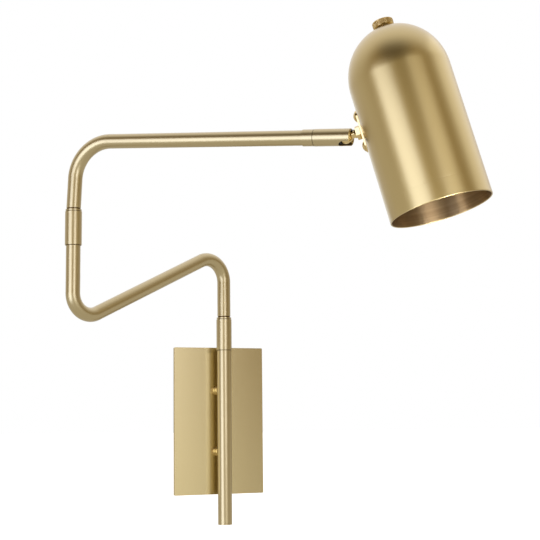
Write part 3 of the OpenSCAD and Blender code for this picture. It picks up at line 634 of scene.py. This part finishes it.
@dataclass
class SpunShade:
    """The spun dome shade: straight wall, long dome, rolled rim and a scribed ring."""

    groups: MarkGroups
    radius: float = 0.049
    wall: float = 0.0012
    mouth_z: float = -0.0965
    dome_z: float = 0.036
    dome_h: float = 0.0527
    flat_r: float = 0.009
    hole_r: float = 0.00502
    ring_above_mouth: float = 0.018
    ring_depth: float = 0.00008
    ring_half: float = 0.0003
    steps: int = 144
    dome_steps: int = 40
    rim_steps: int = 10
    rim_loops: tuple[float, ...] = (0.0015, 0.004)
    outer_loops: tuple[float, ...] = (-0.03, 0.0)
    inner_loops: tuple[float, ...] = (0.0, -0.04)
    inner_rim_loop: float = 0.004
    hole_sides: int = 32
    hole_length: float = 0.02
    stem_hole: tuple[float, float] = (0.0, 0.0041)
    screw_hole: tuple[float, float] = (0.015, 0.00245)

    def _dome(self, radius: float, height: float) -> Profile:
        """Outline of a dome from the straight wall up to the flat.

        Args:
            radius: Radius at the dome's foot.
            height: Height that the full dome would have.

        Returns:
            Points (radius, height).
        """
        end = math.acos(self.flat_r / radius)
        return [(radius * math.cos(end * i / self.dome_steps),
                 self.dome_z + height * math.sin(end * i / self.dome_steps))
                for i in range(self.dome_steps + 1)]

    def outline(self) -> Profile:
        """Half outline of the shade, up the outside and down the inside."""
        inner = self.radius - self.wall
        top = self.dome_z + self.dome_h * math.sqrt(1 - (self.flat_r / self.radius) ** 2)
        under = (top - self.wall - self.dome_z) / math.sqrt(1 - (self.flat_r / inner) ** 2)
        lip = self.wall / 2
        rim = [(self.radius - lip + lip * math.cos(a), self.mouth_z + lip - lip * math.sin(a))
               for a in (math.pi * k / self.rim_steps for k in range(self.rim_steps, -1, -1))]
        ring_z = self.mouth_z + self.ring_above_mouth
        half = self.ring_half
        ring = [(self.radius, ring_z - 2 * half), (self.radius, ring_z - half),
                (self.radius - self.ring_depth, ring_z), (self.radius, ring_z + half),
                (self.radius, ring_z + 2 * half)]
        lower = [(self.radius, self.mouth_z + z) for z in self.rim_loops] + ring
        lower += [(self.radius, z) for z in self.outer_loops]
        outside = rim + lower + self._dome(self.radius, self.dome_h) + [(self.hole_r, top)]
        inside = [(self.hole_r, top - self.wall)] + list(reversed(self._dome(inner, under)))
        inside += [(inner, z) for z in self.inner_loops]
        return outside + inside + [(inner, self.mouth_z + self.inner_rim_loop)]

    def build(self) -> bpy.types.Object:
        """Models and dresses the shade.

        Returns:
            The shade's object.
        """
        shade = Lathe.turn("spun_shade", self.outline(), self.steps)
        shade.data.materials.append(SATIN_SHADE.material(self.groups, SHADE_PLACE, " outside"))
        shade.data.materials.append(SHADE_INSIDE.material(self.groups, SHADE_PLACE))
        self._line_inside(shade)
        self._drill(shade)
        settle(shade, SHADE_PLACE)
        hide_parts("shade")
        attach(shade, "head")
        log.info("spun shade built")
        return shade

    def _line_inside(self, shade: bpy.types.Object) -> None:
        """Gives the faces of the inner side the inner finish.

        Args:
            shade: The shade in its own coordinates.
        """
        middle = self.radius - self.wall / 2
        for face in shade.data.polygons:
            c = face.center
            r = math.hypot(c.x, c.y)
            if c.z > self.dome_z:
                height = self.dome_h - self.wall / 2
                inside = (r / middle) ** 2 + ((c.z - self.dome_z) / height) ** 2 < 1
            else:
                inside = r < middle
            face.material_index = 1 if inside and c.z > self.mouth_z + self.wall else 0

    def _drill(self, shade: bpy.types.Object) -> None:
        """Cuts the swivel stem's hole and the strap screws' holes in the wall.

        Args:
            shade: The shade in its own coordinates.
        """
        screw_z, screw_r = self.screw_hole
        for height, radius in (self.stem_hole, (screw_z, screw_r), (-screw_z, screw_r)):
            bpy.ops.object.select_all(action="DESELECT")
            bpy.ops.mesh.primitive_cylinder_add(vertices=self.hole_sides, radius=radius,
                                                depth=self.hole_length,
                                                location=(-self.radius, 0, height),
                                                rotation=(0, math.pi / 2, 0))
            drill = bpy.context.object
            bpy.ops.object.select_all(action="DESELECT")
            shade.select_set(True)
            bpy.context.view_layer.objects.active = shade
            cut = shade.modifiers.new("hole", "BOOLEAN")
            cut.operation = "DIFFERENCE"
            cut.object = drill
            bpy.ops.object.modifier_apply(modifier=cut.name)
            bpy.data.objects.remove(drill)


@dataclass
class CollarShadeLine:
    """The thin dark ring under a collar, painted shade in the corner between its foot and the
    tube.

    The slant, the drop and the toe are shares of the ring's depth.
    """

    groups: MarkGroups
    name: str
    collar: str
    body: str
    place: Matrix
    tube_r: float
    depth: float = 0.00045
    slant: float = 0.7
    drop: float = 0.9
    toe: float = 1.5
    steps: int = 72

    def build(self) -> bpy.types.Object:
        """Models and dresses the ring of painted shade.

        Returns:
            The ring's object.
        """
        own = [self.place.inverted() @ v.co for v in frame["nodes"][self.collar].data.vertices]
        foot = min(v.z for v in own if math.hypot(v.x, v.y) > self.tube_r + self.depth)
        outline = [(self.tube_r, foot), (self.tube_r + self.depth, foot),
                   (self.tube_r + self.depth * self.slant, foot - self.depth * self.drop),
                   (self.tube_r, foot - self.depth * self.toe)]
        shade_line = Lathe.turn(self.name, outline, self.steps)
        shade_line.data.materials.append(DARK_BRASS_AND_SHADE.material(self.groups, self.place, " " + self.name))
        settle(shade_line, self.place)
        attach(shade_line, self.body)
        log.info("%s built", self.name)
        return shade_line


@dataclass
class RolledShell:
    """The lampholder's screw shell with its rolled round thread."""

    groups: MarkGroups
    bore_r: float = 0.0132
    wall: float = 0.0004
    length: float = 0.026
    pitch: float = 0.00363
    depth: float = 0.0004
    wave_steps: int = 10
    steps: int = 72

    def outline(self, low: float) -> Profile:
        """Half outline of the shell, a wave outside and the same wave inside.

        Args:
            low: Height of the shell's lower end.

        Returns:
            Points (radius, height).
        """
        count = round(self.length / self.pitch * self.wave_steps)
        wave = [(i * self.length / count,
                 self.depth / 2 * (1 + math.cos(2 * math.pi * i / self.wave_steps)))
                for i in range(count + 1)]
        outer = [(self.bore_r + self.wall + w, low + z) for z, w in wave]
        inner = [(self.bore_r + w, low + z) for z, w in reversed(wave)]
        return outer + inner

    def build(self) -> bpy.types.Object:
        """Models and dresses the shell.

        Returns:
            The shell's object.
        """
        own = [SHADE_PLACE.inverted() @ v.co for v in frame["nodes"]["screw_shell"].data.vertices]
        low = min(v.z for v in own)
        shell = Lathe.turn("rolled_screw_shell", self.outline(low), self.steps)
        shell.data.materials.append(RAW_BRASS.material(self.groups, SHADE_PLACE, " shell"))
        settle(shell, SHADE_PLACE)
        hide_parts("screw_shell")
        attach(shell, "head")
        log.info("rolled screw shell built")
        return shell


@dataclass
class WallMount:
    """Plate, bracket, standoffs and stem, all fixed to the wall."""

    dressing: Dressing

    def build(self) -> None:
        """Dresses the wall mount's nodes."""
        wear = self.dressing.wear
        wear(SATIN_PLATE, WALL_PLACE, "", "back_plate")
        wear(ZINC_STEEL, WALL_PLACE, "", "mounting_bracket", "rim_screws", "wire_nipple",
             "nipple_nut", "stem_bolt")
        wear(GREEN_SCREW, WALL_PLACE, "", "ground_screw")
        wear(POLISHED_BRASS, axis_place(Vector((0, 0, 0)), Vector((0, 1, 0))), " standoff",
             "standoff_upper", "standoff_lower")
        wear(SATIN_TUBE, STEM_PLACE, " stem", "stem_tube", "lower_collar")
        wear(TURNED_BRASS, STEM_PLACE, " stem", "stem_end_cap")
        wear(RAW_BRASS, STEM_PLACE, " stem", "stem_inserts")
        wear(DARK_BRASS_AND_SHADE, STEM_PLACE, "", "lower_bush")
        # A thin dark ring of painted shade under the lower collar.
        CollarShadeLine(self.dressing.groups, "lower_collar_seam", "lower_collar", "wall_mount",
                   STEM_PLACE, STEM_RADIUS).build()


@dataclass
class Arms:
    """Both bent arms with their swivels and the knuckle's ferrule."""

    dressing: Dressing

    def build(self) -> None:
        """Dresses the nodes of both arms."""
        wear = self.dressing.wear
        wear(TURNED_BRASS, STEM_PLACE, " stem", "lower_neck_ring")
        wear(RAW_BRASS, STEM_PLACE, " stem", "lower_stud", "lower_nut")
        wear(DARK_BRASS_AND_SHADE, STEM_PLACE, "", "lower_plug", "elbow_bush", "elbow_plug")
        wear(ZINC_STEEL, WALL_PLACE, "", "lower_spring_washer", "elbow_spring_washer")
        wear(SATIN_BENT, WALL_PLACE, "", "lower_arm_tube", "upper_arm_tube")
        wear(SATIN_TUBE, ELBOW_PLACE, " elbow", "elbow_collar")
        wear(TURNED_BRASS, ELBOW_PLACE, " elbow", "elbow_neck_ring")
        wear(RAW_BRASS, ELBOW_PLACE, " elbow", "elbow_stud", "elbow_nut")
        wear(TURNED_BRASS, ARM_PLACE, " arm", "arm_ferrule")
        wear(RAW_BRASS, ARM_PLACE, " arm", "spigot_nut")
        # A thin dark ring of painted shade under the elbow collar.
        CollarShadeLine(self.dressing.groups, "elbow_collar_seam", "elbow_collar", "lower_arm",
                   ELBOW_PLACE, ARM_RADIUS).build()


@dataclass
class Knuckle:
    """Slotted barrel, its inner pieces and the swivel stem."""

    dressing: Dressing

    def build(self) -> None:
        """Dresses the knuckle's nodes."""
        wear = self.dressing.wear
        wear(KNUCKLE_BRASS, ARM_PLACE, "", "knuckle_body")
        wear(SEAT_NYLON, ARM_PLACE, "", "ball_seat")
        wear(ZINC_STEEL, WALL_PLACE, "", "seat_spring")
        wear(POLISHED_BRASS, NECK_PLACE, "", "ball_stem")


@dataclass
class Head:
    """Strap, shade, lampholder, switch and knob."""

    dressing: Dressing

    def build(self) -> None:
        """Dresses the head's nodes and builds its fine pieces."""
        wear = self.dressing.wear
        wear(POLISHED_BRASS, NECK_PLACE, "", "lock_nut", "shade_strap", "strap_screws")
        wear(ZINC_STEEL, WALL_PLACE, "", "strap_nuts", "inner_nut", "switch_shaft")
        wear(RAW_BRASS, SHADE_PLACE, " head", "switch_bushing", "holder_cap", "centre_contact")
        wear(BLACK_PHENOLIC, SHADE_PLACE, "", "switch_body", "lampholder")
        wear(TURNED_BRASS, SHADE_PLACE, " head", "dome_nut")
        wear(KNOB_BRASS, SHADE_PLACE, "", "knob")
        SpunShade(self.dressing.groups).build()
        RolledShell(self.dressing.groups).build()


@dataclass(frozen=True)
class Softbox:
    """One soft studio lamp, placed by its direction from the object."""

    title: str
    azimuth: float
    elevation: float
    distance: float
    width: float
    height: float
    radiance: float
    tint: Point = (1.0, 1.0, 1.0)
    lit: str = ""

    def build(self, centre: Vector, view_azimuth: float) -> bpy.types.Object:
        """Makes the lamp.

        Args:
            centre: Point that the lamp faces.
            view_azimuth: Direction of the camera from the object, in degrees about Z.

        Returns:
            The lamp's object.
        """
        a = math.radians(view_azimuth + self.azimuth)
        e = math.radians(self.elevation)
        out = Vector((math.cos(a) * math.cos(e), math.sin(a) * math.cos(e), math.sin(e)))
        data = bpy.data.lights.new(self.title, "AREA")
        data.shape = "RECTANGLE"
        data.size, data.size_y = self.width, self.height
        data.energy = self.radiance * math.pi * self.width * self.height
        data.color = self.tint
        lamp = bpy.data.objects.new(self.title, data)
        bpy.context.scene.collection.objects.link(lamp)
        lamp.location = centre + out * self.distance
        lamp.rotation_euler = out.to_track_quat("Z", "Y").to_euler()
        if self.lit:
            receivers = bpy.data.collections.new(self.title + " receivers")
            receivers.objects.link(bpy.data.objects[self.lit])
            lamp.light_linking.receiver_collection = receivers
        return lamp


@dataclass(frozen=True)
class Zone:
    """One part of the surround as the metal mirrors it, fading in round a direction.

    The start and the end of the fade are cosines of the angle from that direction.
    """

    title: str
    towards: Point
    start: float
    end: float
    colour: Point


@dataclass
class Studio:
    """Pale floor, white background, warm dim surround in front and soft lamps."""

    floor_z: float = -0.6
    floor_size: float = 160.0
    floor_matt: Point = (0.82, 0.82, 0.82)
    floor_glow: float = 0.85
    floor_in_metal: Point = (0.60, 0.55, 0.47)
    centre: Point = (-0.05, -0.2, 0.15)
    view_azimuth: float = 247.8
    front: Point = (0.29, 0.20, 0.075)
    zones: tuple[Zone, ...] = (
        Zone("facing", (-0.56, -0.83, 0.07), 0.89, 1.0, (0.59, 0.46, 0.23)),
        Zone("overhead", (-0.43, -0.48, 0.77), 0.78, 0.97, (0.06, 0.035, 0.005)),
        Zone("left side", (-0.555, 0.716, 0.423), 0.68, 0.95, (0.62, 0.56, 0.48)),
        Zone("right side", (0.818, 0.04, 0.574), 0.7, 0.95, (0.50, 0.43, 0.33)),
        Zone("above", (0.189, 0.463, 0.866), 0.3, 0.95, (0.95, 0.9, 0.88)),
        Zone("back", (0.375, 0.92, 0.0), 0.8, 0.99, (1.0, 1.0, 1.0)),
    )
    softboxes: tuple[Softbox, ...] = (
        Softbox("left softbox", -41.0, -3.0, 1.7, 1.3, 1.4, 1.6, (0.95, 1.04, 1.38)),
        Softbox("right softbox", 30.0, 9.0, 1.8, 1.0, 1.75, 0.66),
        Softbox("right softbox core", 25.0, 4.0, 1.65, 0.78, 0.6, 1.4, (0.96, 1.03, 1.4)),
        Softbox("high side softbox", 106.0, 33.0, 1.9, 1.6, 1.2, 0.4, lit="spun_shade"),
        Softbox("low left softbox", -40.0, -42.0, 0.9, 0.24, 0.55, 6.0, lit="spun_shade"),
        Softbox("low right softbox", 47.0, -42.0, 0.9, 0.24, 0.55, 23.0, lit="spun_shade"),
    )

    def build(self) -> None:
        """Makes the floor, the world and the lamps."""
        self._floor()
        self._world()
        for box in self.softboxes:
            box.build(Vector(self.centre), self.view_azimuth)

    @staticmethod
    def _background_rays(nodes: bpy.types.Nodes, links: bpy.types.NodeLinks,
                         names: tuple[str, ...]) -> bpy.types.NodeSocket:
        """Adds up light path outputs, so that any of them gives 1.

        Args:
            nodes: Nodes of the tree.
            links: Links of the tree.
            names: Outputs of the Light Path node.

        Returns:
            The socket that is 1 for those rays.
        """
        path = nodes.new("ShaderNodeLightPath")
        total = path.outputs[names[0]]
        for name in names[1:]:
            either = nodes.new("ShaderNodeMath")
            either.operation = "MAXIMUM"
            links.new(total, either.inputs[0])
            links.new(path.outputs[name], either.inputs[1])
            total = either.outputs[0]
        return total

    def _floor(self) -> None:
        """Makes the floor: white to the camera with the shadow kept, pale in reflections."""
        bpy.ops.object.select_all(action="DESELECT")
        bpy.ops.mesh.primitive_plane_add(size=self.floor_size, location=(0, 0, self.floor_z))
        floor = bpy.context.object
        floor.name = "studio_floor"
        material = bpy.data.materials.new("studio floor")
        material.use_nodes = True
        nodes, links = material.node_tree.nodes, material.node_tree.links
        nodes.clear()
        matt = nodes.new("ShaderNodeBsdfDiffuse")
        matt.inputs["Color"].default_value = (*self.floor_matt, 1)
        glow = nodes.new("ShaderNodeEmission")
        glow.inputs["Color"].default_value = WHITE
        glow.inputs["Strength"].default_value = self.floor_glow
        lit = nodes.new("ShaderNodeAddShader")
        links.new(matt.outputs[0], lit.inputs[0])
        links.new(glow.outputs[0], lit.inputs[1])
        to_camera = nodes.new("ShaderNodeMixShader")
        links.new(self._background_rays(nodes, links, ("Is Camera Ray",)), to_camera.inputs["Fac"])
        links.new(matt.outputs[0], to_camera.inputs[1])
        links.new(lit.outputs[0], to_camera.inputs[2])
        pale = nodes.new("ShaderNodeEmission")
        pale.inputs["Color"].default_value = (*self.floor_in_metal, 1)
        to_metal = nodes.new("ShaderNodeMixShader")
        links.new(self._background_rays(nodes, links, ("Is Glossy Ray", "Is Transmission Ray")),
                  to_metal.inputs["Fac"])
        links.new(to_camera.outputs[0], to_metal.inputs[1])
        links.new(pale.outputs[0], to_metal.inputs[2])
        out = nodes.new("ShaderNodeOutputMaterial")
        links.new(to_metal.outputs[0], out.inputs["Surface"])
        floor.data.materials.append(material)

    def _world(self) -> None:
        """Makes the surround: white to the camera, white behind the object and dimmer in front."""
        world = bpy.data.worlds.new("studio surround")
        bpy.context.scene.world = world
        world.use_nodes = True
        nodes, links = world.node_tree.nodes, world.node_tree.links
        nodes.clear()
        direction = nodes.new("ShaderNodeTexCoord")
        seen: bpy.types.NodeSocket | None = None
        for zone in self.zones:
            cosine = nodes.new("ShaderNodeVectorMath")
            cosine.operation = "DOT_PRODUCT"
            cosine.inputs[1].default_value = Vector(zone.towards).normalized()
            links.new(direction.outputs["Generated"], cosine.inputs[0])
            share = nodes.new("ShaderNodeMapRange")
            share.label = zone.title
            share.interpolation_type = "SMOOTHSTEP"
            share.inputs["From Min"].default_value = zone.start
            share.inputs["From Max"].default_value = zone.end
            links.new(cosine.outputs["Value"], share.inputs["Value"])
            mixed = ColourMix(nodes)
            mixed.second.default_value = (*zone.colour, 1)
            links.new(share.outputs["Result"], mixed.share)
            if seen is None:
                mixed.first.default_value = (*self.front, 1)
            else:
                links.new(seen, mixed.first)
            seen = mixed.result
        surround = nodes.new("ShaderNodeBackground")
        links.new(seen, surround.inputs["Color"])
        white = nodes.new("ShaderNodeBackground")
        white.inputs["Color"].default_value = WHITE
        white.inputs["Strength"].default_value = 1.0
        mix = nodes.new("ShaderNodeMixShader")
        links.new(self._background_rays(nodes, links, ("Is Camera Ray",)), mix.inputs["Fac"])
        links.new(surround.outputs[0], mix.inputs[1])
        links.new(white.outputs[0], mix.inputs[2])
        out = nodes.new("ShaderNodeOutputWorld")
        links.new(mix.outputs[0], out.inputs["Surface"])


@dataclass
class PhotoCamera:
    """Camera at the photographed view."""

    place: Point = (-0.471811, -1.321076, 0.00028)
    yaw: float = 22.19
    pitch: float = 7.11
    roll: float = -0.62
    lens_mm: float = 80.0
    sensor_mm: float = 36.0
    clip_start: float = 0.05
    clip_end: float = 60.0

    def build(self) -> bpy.types.Object:
        """Makes the camera and sets it.

        Returns:
            The camera's object.
        """
        yaw, pitch, roll = (math.radians(a) for a in (self.yaw, self.pitch, self.roll))
        level = Vector((math.sin(yaw), math.cos(yaw), 0))
        side = Vector((math.cos(yaw), -math.sin(yaw), 0))
        up = Vector((0, 0, 1))
        ahead = level * math.cos(pitch) + up * math.sin(pitch)
        top = -level * math.sin(pitch) + up * math.cos(pitch)
        right = side * math.cos(roll) + top * math.sin(roll)
        top = -side * math.sin(roll) + top * math.cos(roll)
        data = bpy.data.cameras.new("photo camera")
        data.lens, data.sensor_width = self.lens_mm, self.sensor_mm
        data.clip_start, data.clip_end = self.clip_start, self.clip_end
        camera = bpy.data.objects.new("photo camera", data)
        bpy.context.scene.collection.objects.link(camera)
        camera.matrix_world = Matrix.Translation(Vector(self.place)) @ Matrix(
            (right, top, -ahead)).transposed().to_4x4()
        bpy.context.scene.camera = camera
        return camera


def main() -> None:
    """Builds the camera, the lamp's finishes and pieces and then the studio, in order."""
    logging.basicConfig(level=logging.INFO, format="%(message)s")
    PhotoCamera().build()
    bpy.context.scene.view_settings.view_transform = "Standard"
    dressing = Dressing(MarkGroups())
    WallMount(dressing).build()
    Arms(dressing).build()
    Knuckle(dressing).build()
    Head(dressing).build()
    Studio().build()


if __name__ == "__main__":
    main()
